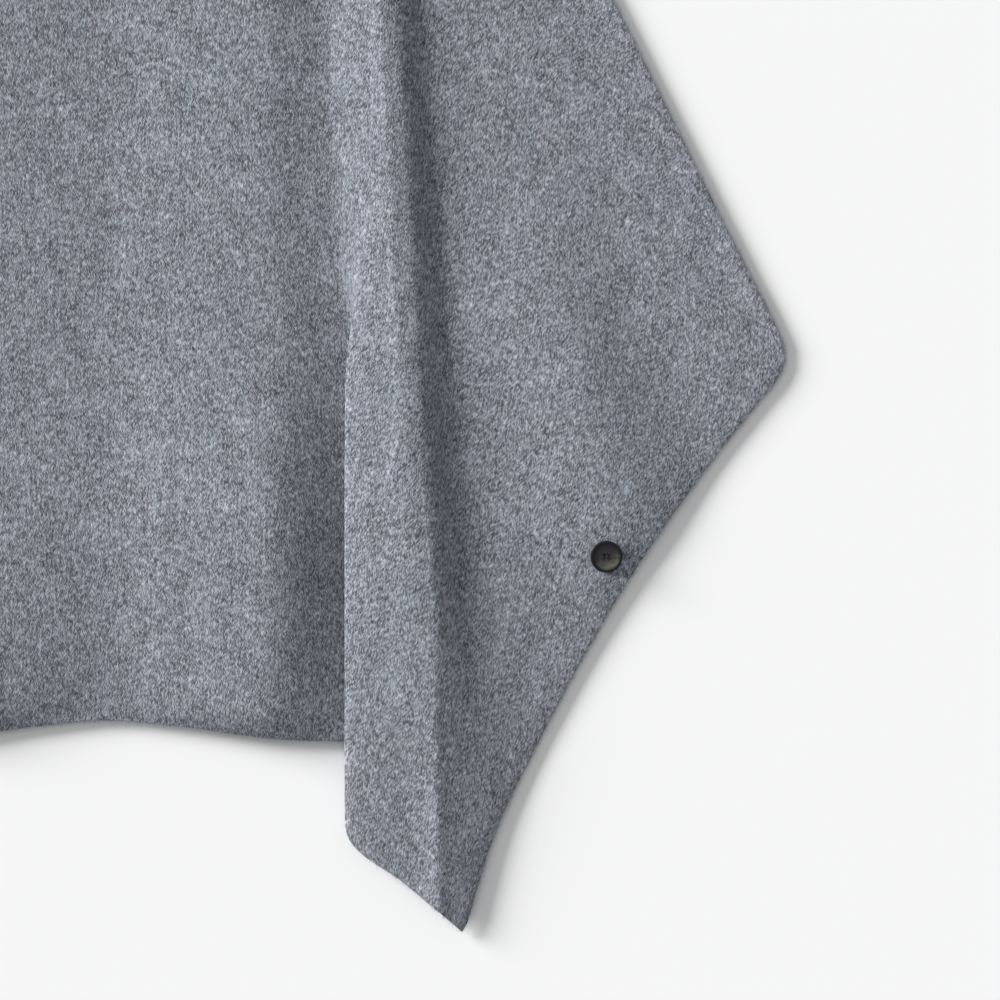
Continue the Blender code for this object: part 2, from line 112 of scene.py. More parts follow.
Course = namedtuple("Course", "centre_y end_x end_y steps scoop", defaults=[0.0])
COURSES = [Course(*row) for row in (
    (342, 95, 422, 2, 1.0),
    (318, 150, 397, 2, 0.8),
    (296, 189.5, 366, 1, 0.5),
    (276, 214.5, 336.5, 3, 0.3),
    (250, 259, 251.5, 3, 0.1),
    (208, 313.8, 144, 3),
    (150, 368.4, 34, 2),
    (112, 398.4, -26, 1),
    (88, 417, -63, 1),
    (77, 420.8, -73, 1),
    (68, 421.6, -81.5, 1),
    (59, 418, -91.5, 1),
    (44, 403.8, -109.5, 2),
    (-6, 368, -155.5, 2),
    (-71, 328.6, -211.5, 2),
    (-133, 295.4, -267.5, 2),
    (-193, 265, -325, 2),
    (-250, 239, -380.5, 2),
    (-293, 225.3, -424, 1),
    (-301, 223, -432.2, 1),
    (-306.5, 219.5, -438.5, 0),
)]
print(len(COURSES), "courses, neckline to hem")

# %% Drapes of the two halves
Drape = namedtuple(
    "Drape", "centre_y fold_x under body_z swell_z crest_x crest_z brow_x brow_z foot_x foot_z "
    "plain_z rim_z edge_z")
RIGHT_DRAPES = (
    (342, 50, -12, 4.8, 5.0, 70, 5.2, 76, 5.0, 84, 4.7, 4.9, 4.7, 4.6),
    (296, 97, -14, 5.4, 5.8, 119, 7.0, 129, 6.4, 145, 5.2, 5.4, 4.7, 4.4),
    (250, 131, -14, 6.0, 6.6, 153, 10.5, 163, 9.6, 180, 5.2, 5.4, 4.7, 4.3),
    (208, 141, -16, 6.6, 10.0, 165.5, 15.6, 174.5, 14.6, 189, 5.0, 5.4, 4.8, 4.3),
    (78, 146, -18, 7.4, 12.2, 174.5, 20.2, 184.5, 19.2, 201, 5.2, 5.4, 4.8, 4.4),
    (-6, 149, -11, 9.0, 12.2, 180.5, 22.2, 189.5, 21.2, 208, 5.8, 5.8, 5.2, 4.5),
    (-71, 148.5, 10, 11.2, 14.2, 185, 24.4, 194.5, 23.4, 214.5, 6.2, 6.0, 5.4, 4.6),
    (-133, 148, 21, 14.5, 21.4, 190.5, 25.0, 200.5, 24.0, 221, 8.2, 6.2, 5.2, 4.5),
    (-193, 148, 32, 17.5, 25.8, 199, 22.4, 205.5, 21.4, 230, 11.8, 7.6, 5.4, 4.3),
    (-250, 148, 39, 15.0, 25.0, 203, 17.6, 206, 17.1, 224, 11.3, 9.1, 7.2, 6.0),
    (-290, 148, 43, 8.5, 20.5, 204, 13.4, 206.5, 13.0, 216, 10.3, 9.3, 8.3, 7.2),
    (-300, 149.4, 42.6, 6.2, 15.4, 204.5, 12.4, 206.5, 12.1, 214, 9.6, 8.7, 7.7, 6.7),
    (-306.5, 154, 42, 5.2, 8.5, 205, 12.0, 207, 11.7, 213, 9.2, 8.3, 7.3, 6.4),
)
LEFT_DRAPES = (
    (342, 47, -12, 4.8, 5.0, 68, 5.2, 74, 5.0, 82, 4.7, 4.9, 4.7, 4.6),
    (296, 92, -14, 5.4, 5.8, 114, 6.8, 124, 6.3, 140, 5.2, 5.4, 4.7, 4.4),
    (250, 124, -14, 6.0, 6.6, 146, 10.0, 156, 9.2, 172, 5.2, 5.4, 4.7, 4.3),
    (208, 136, -16, 6.4, 7.2, 160, 12.8, 169, 11.8, 187, 5.2, 5.6, 4.8, 4.3),
    (78, 141, -17, 6.9, 8.2, 169, 15.0, 178, 14.0, 199, 5.6, 5.8, 5.0, 4.6),
    (-6, 144, -10, 8.7, 10.0, 173, 17.0, 183, 15.9, 206, 5.8, 6.6, 6.0, 4.9),
    (-71, 146, 8, 11.0, 12.5, 178, 19.3, 188, 18.2, 213, 6.4, 7.4, 6.6, 5.0),
    (-133, 149, 18, 14.5, 16.0, 186, 20.0, 196, 18.9, 222, 8.8, 7.0, 5.8, 4.8),
    (-193, 151, 28, 18.0, 20.0, 197, 19.4, 203, 18.7, 227, 12.0, 8.2, 6.0, 4.8),
    (-250, 152, 35, 15.0, 19.5, 202, 16.8, 205.5, 16.2, 221, 11.5, 9.3, 7.7, 6.4),
    (-290, 153, 39, 8.5, 16.5, 204, 13.8, 206.5, 13.4, 216, 10.6, 9.5, 8.4, 7.3),
    (-300, 154.2, 38.6, 6.2, 13.0, 205, 13.0, 207.5, 12.7, 214, 10.0, 8.9, 7.9, 6.8),
    (-306.5, 158, 38, 5.2, 8.3, 205, 12.6, 207.5, 12.3, 213, 9.6, 8.5, 7.5, 6.6),
)
DRAPES = {"right": [*map(Drape._make, RIGHT_DRAPES)], "left": [*map(Drape._make, LEFT_DRAPES)]}
print("pleats", [max(row.under for row in rows) for rows in DRAPES.values()], "mm deep at the hem")

# %% [markdown]
# ## Creases
#
# Soft wool doesn't crease sharply. Where it was picked up and laid down it keeps wide troughs and
# ridges, no two alike. Each row places one of them on the layout: a line, a half width and a
# height, which is negative for a trough.

# %% Troughs and ridges
Fold = namedtuple("Fold", "name start_x start_y end_x end_y inner_width outer_width height")
CREASES = [Fold(*row) for row in (
    ("right_button_swell", 254, 8, 356, -228, 54, 32, 15.5),
    ("right_elbow_trough", 300, 30, 390, -165, 24, 16, -2.2),
    ("right_valley_skirt", 196, 200, 224, -170, 8, 32, 3.0),
    ("right_flute_hollow", 188, -318, 196, -436, 21, 10, -1.7),
    ("right_flute_crest", 203, -215, 206, -425, 4, 4, 1.0),
    ("left_button_swell", -242, 15, -338, -218, 42, 28, 4.8),
    ("left_elbow_trough", -262, 70, -362, -168, 20, 24, -2.0),
    ("left_valley_hollow", -220, 140, -236, -190, 12, 18, -1.0),
    ("left_flute_hollow", -184, -300, -194, -430, 24, 12, -1.3),
    ("left_shoulder_dent", -200, 262, -292, 96, 15, 15, -1.2),
    ("centre_hollow", 8, 250, -6, -300, 34, 34, -1.8),
    ("chest_drag", -70, 265, 40, 120, 26, 26, 1.2),
)]
print(len(CREASES), "creases")

# %% Smooth curves through a table's rows


def monotone_curve(knots, values, at):
    """Cubic curve through the rows of values at knots, with no bulge past them."""
    knots = np.asarray(knots, float)
    values = np.asarray(values, float).reshape(len(knots), -1)
    widths = np.diff(knots)[:, None]
    slopes = np.diff(values, axis=0) / widths
    tangents = np.empty_like(values)
    tangents[0], tangents[-1] = slopes[0], slopes[-1]
    before, after = slopes[:-1], slopes[1:]
    weight_a = 2 * widths[1:] + widths[:-1]
    weight_b = widths[1:] + 2 * widths[:-1]
    same_way = before * after > 0
    safe_before, safe_after = np.where(same_way, (before, after), 1.0)
    mean = (weight_a + weight_b) / (weight_a / safe_before + weight_b / safe_after)
    tangents[1:-1] = np.where(same_way, mean, 0.0)
    at = np.atleast_1d(np.asarray(at, float))
    i = np.clip(np.searchsorted(knots, at, side="right") - 1, 0, len(knots) - 2)
    width = widths[i]
    t = (at - knots[i])[:, None] / width
    return (
        values[i] * (2 * t**3 - 3 * t**2 + 1)
        + tangents[i] * width * (t**3 - 2 * t**2 + t)
        + values[i + 1] * (3 * t**2 - 2 * t**3)
        + tangents[i + 1] * width * (t**3 - t**2)
    )


def blend(a, b, share):
    return a + (b - a) * share


def piece_lengths(path):
    return np.linalg.norm(np.diff(path, axis=0), axis=1)


def running_length(lengths):
    """How far along a path each of its points lies."""
    return np.concatenate([[0.0], np.cumsum(lengths)])


def steps_between(knots, counts):
    """The knots with counts[i] even steps between each and the next."""
    spans = [np.linspace(knots[i], knots[i + 1], n, endpoint=False) for i, n in enumerate(counts)]
    return np.concatenate([*spans, knots[-1:]])


print("halfway:", monotone_curve([0, 1, 2], [0, 1, 4], 0.5))

# %% [markdown]
# ## One course, station by station
#
# A course runs from the centre line over a soft swell, dives under the flute, turns twice inside
# the pleat, climbs over the flute's crest, drops into the valley beside it and runs out plain to
# the edge. Each of these points is a station. A station's fourth number is the lean of the wales
# there, the knit's upright columns, in degrees from the fold's own direction.

# %% Stations of a course


def drape_at(side, centre_y):
    """The drape table's row at any course, as a Drape."""
    rows = DRAPES[side]
    knots = [-row.centre_y for row in rows]
    return Drape(centre_y, *monotone_curve(knots, [row[1:] for row in rows], -centre_y)[0])


def stations(side, course):
    """The points of one course, centre line to edge, as x, y, z and the wales' lean, right half."""
    d = drape_at(side, course.centre_y)
    folded = min(max(0.5 + 0.5 * d.under / PLEAT_OPENING, 0.0), 1.0)
    depth, slope = max(d.under, 0.0), max(-d.under, 0.0)
    rise = PLEAT_JUMP * min(max((d.crest_z - ON_BACK_Z - 1) / FULL_FLUTE, 0.0), 1.0)
    turn = rise / 4
    fall = PLEAT_FALL * depth / PLEAT_FULL
    foot_z = blend(blend(ON_BACK_Z, d.swell_z, 0.4), ON_BACK_Z + 0.4, folded)
    top_z = max(foot_z + rise * folded, blend(foot_z, d.crest_z, 0.66))

    # The pleat: share of its fall, x and share of its rise when folded, the same when open.
    pleat = (
        (0.00, PLEAT_ENTRY * depth, 0.00, -0.45, 0.00, 4.0),
        (0.25, 0.75 * depth, 0.04, -0.20, 0.09, 0.0),
        (0.42, depth + turn, 0.24, 0.02, 0.24, 5.0),
        (0.58, 0.75 * depth, 0.46, 0.22, 0.40, 13.0),
        (0.86, turn + 1, 0.55, 0.42, 0.56, 13.0),
        (0.93, 0.0, 0.84, 0.68, 0.77, 13.0),
        (1.00, turn + 1, 1.00, 1.00, 1.00, 13.0),
    )
    fold_y = course.centre_y - COURSE_SLOPE * d.fold_x

    def course_y(x, fallen):
        beyond = (x - d.fold_x) / (course.end_x - d.fold_x)
        outer = blend(fold_y - fallen, course.end_y, max(beyond, 0.0) ** OUTER_SAG)
        within = x / d.fold_x
        rounded = blend(within, within**2 * (3 - 2 * within), CENTRE_ROUNDING)
        straight = blend(course.centre_y, fold_y, rounded) if x < d.fold_x else outer
        ellipse_drop = (course.end_y - course.centre_y) * math.sqrt(1 - (x / course.end_x) ** 2)
        return blend(straight, course.end_y - ellipse_drop, course.scoop)

    hollow_x, swell_x = HOLLOW_AT * d.fold_x, SWELL_AT * d.fold_x
    body = ((hollow_x, blend(d.body_z, d.swell_z, 0.35), 3.5), (swell_x, d.swell_z, 5.0))
    points = [(0.0, course.centre_y, d.body_z, 0.0)]
    points += [(x, course_y(x, 0.0), z, lean) for x, z, lean in body]
    for fall_share, folded_run, folded_rise, open_run, open_rise, lean in pleat:
        open_x = d.fold_x + slope * open_run
        x = blend(open_x, d.fold_x + folded_run, folded)
        y = blend(course_y(open_x, 0.0), fold_y - fall * fall_share, folded)
        z = blend(foot_z, top_z, blend(open_rise, folded_rise, folded))
        points.append((x, y, z, lean))
    middle_x = blend(points[-1][0], d.crest_x, 0.5)
    plain_x = blend(d.foot_x, course.end_x, 0.5)
    rim_x = blend(plain_x, course.end_x, 0.7)
    beyond_pleat = (
        (middle_x, blend(top_z, d.crest_z, 0.56), 13.0),
        (d.crest_x, d.crest_z, 12.0),
        (d.brow_x, d.brow_z, 11.0),
        (d.foot_x, d.foot_z, 8.0),
        (plain_x, d.plain_z, 19.0),
        (rim_x, d.rim_z, 25.0),
    )
    points += [(x, course_y(x, fall), z, lean) for x, z, lean in beyond_pleat]
    return np.array([*points, (course.end_x, course.end_y, d.edge_z, 27.0)])


def front_stations(course):
    """The stations of one whole course, from the left edge to the right."""
    right, left = stations("right", course), stations("left", course)
    left[:, (0, 3)] *= -1
    return np.concatenate([left[:0:-1], (right[:1] + left[:1]) / 2, right[1:]])


print("a course has", len(front_stations(COURSES[0])), "stations")

# %% Surface of the front panel
CREASE_FREEDOM = 3.0  # cloth that lies this far over the back takes the creases in full


def fold_relief(x, y):
    """Height that the creases add at points of the layout."""
    total = np.zeros_like(x)
    for fold in CREASES:
        along_x, along_y = fold.end_x - fold.start_x, fold.end_y - fold.start_y
        length = math.hypot(along_x, along_y)
        share = ((x - fold.start_x) * along_x + (y - fold.start_y) * along_y) / length**2
        away = ((x - fold.start_x) * along_y - (y - fold.start_y) * along_x) / length
        outward = away if fold.start_x < 0 else -away
        width = np.where(outward > 0, fold.outer_width, fold.inner_width)
        fade = np.exp(-np.abs(2.1 * (share - 0.5)) ** 4)
        total += fold.height * fade * np.exp(-((away / width) ** 2))
    return total


def distance_to_path(points, path):
    """Distance of points of the layout from a path of straight pieces."""
    steps = np.diff(path, axis=0)
    away = points[:, None] - path[:-1]
    share = np.clip((away * steps).sum(axis=2) / (steps**2).sum(axis=1), 0.0, 1.0)
    return np.linalg.norm(away - share[..., None] * steps, axis=2).min(axis=1)


def edge_relief(grid, columns):
    """Height that the side edges add to a strip of columns: they droop, and shoulders are sewn."""
    relief = np.zeros(grid.shape[:2])
    for strip, edge_column in ((slice(None, columns), 0), (slice(-columns, None), -1)):
        edge, near = grid[:, edge_column, :2], grid[:, strip, :2]
        away = distance_to_path(near.reshape(-1, 2), edge).reshape(near.shape[:2])
        sewn = np.clip((edge[:, 1:] - CORNER_Y) / SEAM_FADE, 0.0, 1.0)
        ridge = np.exp(-((np.maximum(away - SEAM_FLAT, 0.0) / ALLOWANCE_WIDTH) ** 2))
        relief[:, strip] = sewn * ALLOWANCE_RISE * ridge
        relief[:, strip] -= EDGE_DROOP * np.clip(1 - away / BACK_INSET, 0.0, 1.0) ** 1.5
    return relief


def front_surface(row_fineness, station_steps):
    """The middle surface in mm, neck to hem by left to right, with the lean as a fourth value."""
    keys = np.array([front_stations(course) for course in COURSES])
    centre_run = np.abs(np.diff([course.centre_y for course in COURSES]))
    knots = running_length(piece_lengths(keys[:, -1, :2]) + centre_run)
    at = steps_between(knots, [row_fineness * course.steps for course in COURSES[:-1]])
    rows = monotone_curve(knots, keys.reshape(len(keys), -1), at).reshape(len(at), -1, 4)
    grid = []
    for row in rows:
        along = running_length(piece_lengths(row[:, :3]))
        at = steps_between(along, (*station_steps[::-1], *station_steps))
        grid.append(monotone_curve(along, row, at))
    grid = np.array(grid)
    lift = fold_relief(grid[:, :, 0], grid[:, :, 1])
    raised = np.clip((grid[:, :, 2] - ON_BACK_Z) / CREASE_FREEDOM, 0.0, 1.0)
    over_back = grid[:, :, 1] > BACK_HEM_Y - 2 * BACK_HEM_DROP
    lowest = np.where(over_back, ON_BACK_Z, CLOTH / 2 + SEAM_GAP)
    grid[:, :, 2] = np.maximum(grid[:, :, 2] + lift * raised, lowest)
    grid[:, :, 2] += edge_relief(grid, 2 * station_steps[-1])
    return grid


ROW_FINENESS = 6
STATION_STEPS = (6, 10, 12, 4, 4, 4, 4, 4, 4, 4, 6, 5, 9, 14, 10, 8)
front_grid = front_surface(ROW_FINENESS, STATION_STEPS)
front_lean = np.radians(front_grid[:, :, 3])
front_points = front_grid[:, :, :3] + ORIGIN
print("front grid", front_points.shape[:2], "up to", round(front_points[:, :, 2].max(), 1), "mm")

# %% [markdown]
# ## Cloth coordinates
#
# Felt shows its grain: fibres lie mostly along the wales. To draw that grain at its real size, the
# cloth needs flat coordinates, across and along the wales, in millimetres. Unwrapping would stretch
# them. Instead every mesh edge says how far it should run across and along the wales, and a
# least-squares fit, solved by conjugate gradients, finds the coordinates that agree best.

# %% Fit flat coordinates to a surface
FIT_ROUNDS = 500


def unit(vectors):
    return vectors / np.maximum(np.linalg.norm(vectors, axis=-1, keepdims=True), 1e-12)


def wale_directions(points, lean):
    """Unit vectors in the surface, across and along the wales."""
    across, down = np.gradient(points, axis=1), np.gradient(points, axis=0)
    normal = unit(np.cross(down, across))
    up = unit(np.array([0.0, 1.0, 0.0]) - normal * normal[..., 1:2])
    side = np.cross(up, normal)
    cos, sin = np.cos(lean)[..., None], np.sin(lean)[..., None]
    return side * cos - up * sin, up * cos + side * sin


def fit_coordinates(points, directions):
    """Flat coordinates whose steps along the mesh edges agree best with the two directions."""
    edges, wanted = [], []
    rows, columns = points.shape[:2]
    index = np.arange(rows * columns).reshape(rows, columns)
    for a, b in ((np.s_[:, :-1], np.s_[:, 1:]), (np.s_[:-1], np.s_[1:])):
        step = points[b] - points[a]
        middle = [(d[a] + d[b]) / 2 for d in directions]
        edges.append(np.stack([index[a], index[b]], axis=-1).reshape(-1, 2))
        wanted.append(np.stack([(step * d).sum(-1) for d in middle], axis=-1).reshape(-1, 2))
    (start, end), wanted = np.concatenate(edges).T, np.concatenate(wanted)
    count = rows * columns

    def gather(values):
        return np.stack(
            [np.bincount(end, values[:, k], count) - np.bincount(start, values[:, k], count)
             for k in range(2)], axis=-1)

    degree = np.bincount(start, minlength=count) + np.bincount(end, minlength=count)
    flat = np.zeros((count, 2))
    left = gather(wanted)
    scaled = left / degree[:, None]
    way, size = scaled.copy(), (left * scaled).sum(0)
    for _ in range(FIT_ROUNDS):
        pushed = gather(way[end] - way[start])
        share = size / np.maximum((way * pushed).sum(0), 1e-20)
        flat += way * share
        left -= pushed * share
        scaled = left / degree[:, None]
        new_size = (left * scaled).sum(0)
        way = scaled + way * (new_size / np.maximum(size, 1e-20))
        size = new_size
    flat -= flat[index[0, columns // 2]]
    off = np.abs(flat[end] - flat[start] - wanted).mean() / np.abs(wanted).mean()
    print(f"fit of {count} points, mean misfit {100 * off:.1f} % of an edge")
    return flat.reshape(rows, columns, 2)


front_flat = fit_coordinates(front_points, wale_directions(front_points, front_lean))
print("cloth spans", np.ptp(front_flat.reshape(-1, 2), axis=0).round(0), "mm")

# %% [markdown]
# ## Turning a grid of points into cloth
#
# The grid is the cloth's middle surface. Solidify gives it its thickness, half to each side, and a
# small bevel rounds the raw edge, because felt has no sharp corners.

# %% Mesh helpers
EDGE_ROUNDING = 0.8
scene = bpy.context.scene


def with_settings(thing, **settings):
    """Sets a thing's own settings by name and hands it back."""
    for name, value in settings.items():
        setattr(thing, name, value)
    return thing


def place_object(name, data):
    obj = bpy.data.objects.new(name, data)
    scene.collection.objects.link(obj)
    return obj


def grid_quads(rows, columns, closed):
    """Quads of a grid of points by their numbers; closed joins the last column to the first."""
    last = columns if closed else columns - 1
    r, c = np.meshgrid(np.arange(rows - 1), np.arange(last), indexing="ij")
    right = (c + 1) % columns
    return np.stack([r * columns + c, (r + 1) * columns + c, (r + 1) * columns + right,
                     r * columns + right], axis=-1).reshape(-1, 4)


def smooth_mesh(name, points, faces):
    mesh = bpy.data.meshes.new(name)
    mesh.from_pydata(points.reshape(-1, 3).tolist(), [], faces)
    mesh.shade_smooth()
    return mesh


def grid_mesh(name, points, flat, closed):
    """A smooth mesh over a grid of points in mm, with its cloth coordinates as UVs in metres."""
    columns = points.shape[1]
    faces = grid_quads(*points.shape[:2], closed)
    mesh = smooth_mesh(name, points * MM, faces.tolist())
    corners = flat.reshape(-1, 2)[faces.reshape(-1)]
    if closed:  # the last column of quads runs on past the seam
        wrap = (faces[:, 2:3] % columns == 0) & (np.arange(4) >= 2)
        whole_run = flat[0, -1] - flat[0, 0] + flat[0, 1] - flat[0, 0]
        corners = corners + wrap.reshape(-1, 1) * whole_run
    layer = mesh.uv_layers.new(name="cloth_coordinates")
    layer.data.foreach_set("uv", (corners * MM).astype(np.float32).ravel())
    return mesh


def new_object(mesh, material):
    mesh.materials.append(material)
    return place_object(mesh.name, mesh)


def declare(obj, slot, *nodes):
    """Makes an object a piece of the garment, which stands for CAD nodes if any are named."""
    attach(obj, "root")
    if nodes:
        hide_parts(*nodes)


def add_cloth(name, points, flat, cad_node, closed=False):
    """A piece of wool cloth over a grid, with its thickness and its rounded raw edge."""
    obj = new_object(grid_mesh(name, points, flat, closed), wool)
    declare(obj, "wool", cad_node)
    with_settings(obj.modifiers.new("cloth_thickness", "SOLIDIFY"),
                  thickness=CLOTH * MM, offset=0.0, use_even_offset=False)
    with_settings(obj.modifiers.new("felted_edge", "BEVEL"), width=EDGE_ROUNDING * MM,
                  segments=2, limit_method="ANGLE", angle_limit=math.radians(60))
    return obj


print("cloth", CLOTH, "mm thick, rounded", EDGE_ROUNDING, "mm")

# %% [markdown]
# ## Node helpers
#
# Materials are built from nodes in code, so a few short helpers keep the wiring readable. Effects
# that more than one material needs become node groups with named sockets.

# %% Short ways to place and wire nodes


def feed(tree, made, sockets):
    """Wires or sets a node's inputs, each from another node's output or a plain value."""
    for name, source in sockets.items():
        if isinstance(source, bpy.types.NodeSocket):
            tree.links.new(source, made.inputs[name])
        else:
            made.inputs[name].default_value = source


def node(tree, kind, sockets=None, **settings):
    made = with_settings(tree.nodes.new("ShaderNode" + kind), **settings)
    feed(tree, made, sockets or {})
    return made


def maths(tree, operation, *terms):
    return node(tree, "Math", dict(enumerate(terms)), operation=operation).outputs[0]


def scale_vector(tree, vector, scale):
    sockets = {0: vector, "Scale": scale}
    return node(tree, "VectorMath", sockets, operation="SCALE").outputs[0]


def ramp(tree, value, low, high):
    """0 below low, 1 above high, smooth between."""
    sockets = {"Value": value, "From Min": low, "From Max": high}
    made = node(tree, "MapRange", sockets, interpolation_type="SMOOTHSTEP")
    return made.outputs["Result"]


def mix_colours(tree, share, a, b):
    """Mixes two colours; the node keeps its colour sockets at these numbers."""
    return node(tree, "Mix", {0: share, 6: a, 7: b}, data_type="RGBA").outputs[2]


def turned(tree, vector, degrees):
    """The vector turned about the cloth's normal."""
    sockets = {"Vector": vector, "Angle": math.radians(degrees)}
    return node(tree, "VectorRotate", sockets, rotation_type="Z_AXIS").outputs[0]


def noise(tree, vector, across, along, shift=(0.0, 0.0), detail=1.0, roughness=0.5,
          distortion=0.0):
    """Noise with features of this size in mm, across and along the wales, moved by shift."""
    place = node(tree, "Mapping", {
        "Vector": vector, "Location": (*shift, 0.0),
        "Scale": (1 / (across * MM), 1 / (along * MM), 1.0)})
    made = node(tree, "TexNoise", {
        "Vector": place.outputs[0], "Scale": 1.0, "Detail": detail, "Roughness": roughness,
        "Distortion": distortion}, noise_dimensions="2D")
    return made.outputs[0]


def bump(tree, height, strength, rise):
    """The normal of a relief that follows height and rises this many mm."""
    sockets = {"Height": height, "Strength": strength, "Distance": rise * MM}
    return node(tree, "Bump", sockets).outputs[0]


def srgb(red, green, blue):
    """A colour from its 0 to 255 screen values, as the linear colour that nodes take."""
    return tuple(((v / 255 + 0.055) / 1.055) ** 2.4 for v in (red, green, blue)) + (1.0,)


def new_group(name, values, outputs):
    """A node group that reads a vector and named values, with its input and output nodes."""
    tree = bpy.data.node_groups.new(name, "ShaderNodeTree")
    tree.interface.new_socket("Vector", in_out="INPUT", socket_type="NodeSocketVector")
    for label, default in values.items():
        socket = tree.interface.new_socket(label, in_out="INPUT", socket_type="NodeSocketFloat")
        socket.default_value = default
    for label in outputs:
        tree.interface.new_socket(label, in_out="OUTPUT", socket_type="NodeSocketFloat")
    return tree, tree.nodes.new("NodeGroupInput"), tree.nodes.new("NodeGroupOutput")


def new_material(name, finish):
    """A material, its node tree and its shader, which gets the plain values of finish."""
    material = bpy.data.materials.new(name)
    material.use_nodes = True
    tree = material.node_tree
    shader = tree.nodes["Principled BSDF"]
    feed(tree, shader, finish)
    return material, tree, shader


print("sRGB 128 is", round(srgb(128, 128, 128)[0], 3), "in linear light")

# %% [markdown]
# ## Felted mélange wool
#
# Mélange yarn is spun from light and dark fibres together, so the cloth is never one grey: it is
# salt and pepper at about a millimetre, drawn out along the wales. Three layers of noise at fibre,
# stitch and hand scale give that, and the same layers feed the bump, so that what looks like a
# fibre also catches the light like one.

# %% Group: mélange grain
grain_group, inside, out = new_group(
    "melange_grain", {"Size": 1.0}, ("Grain", "Pale", "Dark", "Warm"))
t = grain_group
cloth = scale_vector(t, inside.outputs["Vector"], maths(t, "DIVIDE", 1.0, inside.outputs["Size"]))
coarse = noise(t, cloth, 1.4, 2.8, detail=2.0, roughness=0.6, distortion=0.3)
fine = noise(t, cloth, 0.7, 1.7, (7.3, 2.1), roughness=0.6)
blotch = noise(t, cloth, 3.4, 5.0, (1.7, 9.2))
fibre_a = noise(t, turned(t, cloth, 24.0), 0.6, 3.4, (31.0, 17.0))
fibre_b = noise(t, turned(t, cloth, -17.0), 0.6, 3.0, (57.0, 43.0))
fleck = noise(t, cloth, 1.1, 2.8, (83.0, 61.0), detail=0.0)
grain = maths(t, "MULTIPLY_ADD", fine, 0.6, maths(t, "MULTIPLY", coarse, 0.8))
grain = maths(t, "MULTIPLY_ADD", blotch, 0.6, grain)
grain = maths(t, "MULTIPLY_ADD", maths(t, "ADD", fibre_a, fibre_b), 0.5, grain)
feed(t, out, {
    "Grain": maths(t, "SUBTRACT", grain, 1.5),  # 1.5 is the mean of the layers' sum
    "Pale": ramp(t, maths(t, "MAXIMUM", fibre_a, fibre_b), 0.58, 0.70),
    "Dark": ramp(t, maths(t, "MINIMUM", fibre_a, fine), 0.36, 0.22),
    "Warm": ramp(t, fleck, 0.80, 0.90),
})
print(grain_group.name, [s.name for s in grain_group.interface.items_tree])

# %% Group: mottling
WALE_WIDTH = 3.1  # one knitted column, still faintly there after felting

mottle_group, inside, out = new_group("felt_mottling", {}, ("Mottle", "Streak", "Cast"))
t = mottle_group
cloth = inside.outputs["Vector"]
wide = noise(t, cloth, 17.0, 24.0, (3.0, 5.0), detail=3.0, roughness=0.6)
near = noise(t, cloth, 6.0, 9.0, (11.0, 2.0))
streak = noise(t, cloth, 2.1, 40.0, (5.0, 1.0))
across = node(t, "SeparateXYZ", {0: cloth}).outputs["X"]
wander = maths(t, "MULTIPLY", near, 5.0)
phase = maths(t, "MULTIPLY_ADD", across, math.tau / (WALE_WIDTH * MM), wander)
wale = maths(t, "MULTIPLY", maths(t, "SINE", phase), streak)
feed(t, out, {
    "Mottle": maths(t, "SUBTRACT", maths(t, "MULTIPLY_ADD", near, 0.6, wide), 0.8),
    "Streak": maths(t, "SUBTRACT", maths(t, "MULTIPLY_ADD", wale, 0.35, streak), 0.5),
    "Cast": noise(t, cloth, 30.0, 36.0, (41.0, 7.0)),
})
print(mottle_group.name, [s.name for s in mottle_group.interface.items_tree])

# %% Wool material
WOOL_COOL, WOOL_VIOLET = srgb(112, 118, 126), srgb(116, 118, 126)
WOOL_PALE, WOOL_DARK, WOOL_WARM = srgb(182, 187, 196), srgb(62, 66, 77), srgb(128, 112, 108)
GRAIN_SIZE = 1.05  # 1 draws the grain's layers at the sizes that their group names
GRAIN_CONTRAST, MOTTLE_CONTRAST, STREAK_CONTRAST = 2.25, 1.05, 0.35
PALE_SHARE, DARK_SHARE, WARM_SHARE = 0.62, 0.28, 0.5  # how far flecks take on their own colour

wool, tree, shader = new_material("grey_felted_wool", {
    "Roughness": 0.95, "Specular IOR Level": 0.15, "Sheen Weight": 0.25,
    "Sheen Roughness": 0.45, "Sheen Tint": (0.75, 0.8, 0.9, 1.0)})
uv = node(tree, "UVMap", uv_map="cloth_coordinates").outputs[0]
grain = node(tree, "Group", {"Vector": uv, "Size": GRAIN_SIZE}, node_tree=grain_group)
mottle = node(tree, "Group", {"Vector": uv}, node_tree=mottle_group)
tone = maths(tree, "MULTIPLY", grain.outputs["Grain"], GRAIN_CONTRAST)
tone = maths(tree, "MULTIPLY_ADD", mottle.outputs["Mottle"], MOTTLE_CONTRAST, tone)
tone = maths(tree, "MULTIPLY_ADD", mottle.outputs["Streak"], STREAK_CONTRAST, tone)
cast = mix_colours(tree, ramp(tree, mottle.outputs["Cast"], 0.3, 0.7), WOOL_COOL, WOOL_VIOLET)
colour = scale_vector(tree, cast, maths(tree, "POWER", math.e, tone))
for kind, share, own_colour in (
        ("Pale", PALE_SHARE, WOOL_PALE), ("Dark", DARK_SHARE, WOOL_DARK),
        ("Warm", WARM_SHARE, WOOL_WARM)):
    flecks = maths(tree, "MULTIPLY", grain.outputs[kind], share)
    colour = mix_colours(tree, flecks, colour, own_colour)
feed(tree, shader, {
    "Base Color": colour, "Normal": bump(tree, grain.outputs["Grain"], strength=0.5, rise=0.5)})
print(wool.name, len(tree.nodes), "nodes")

# %% Front panel
front = add_cloth("poncho_front", front_points, front_flat, "front_panel")
print("front panel quads:", len(front.data.polygons))

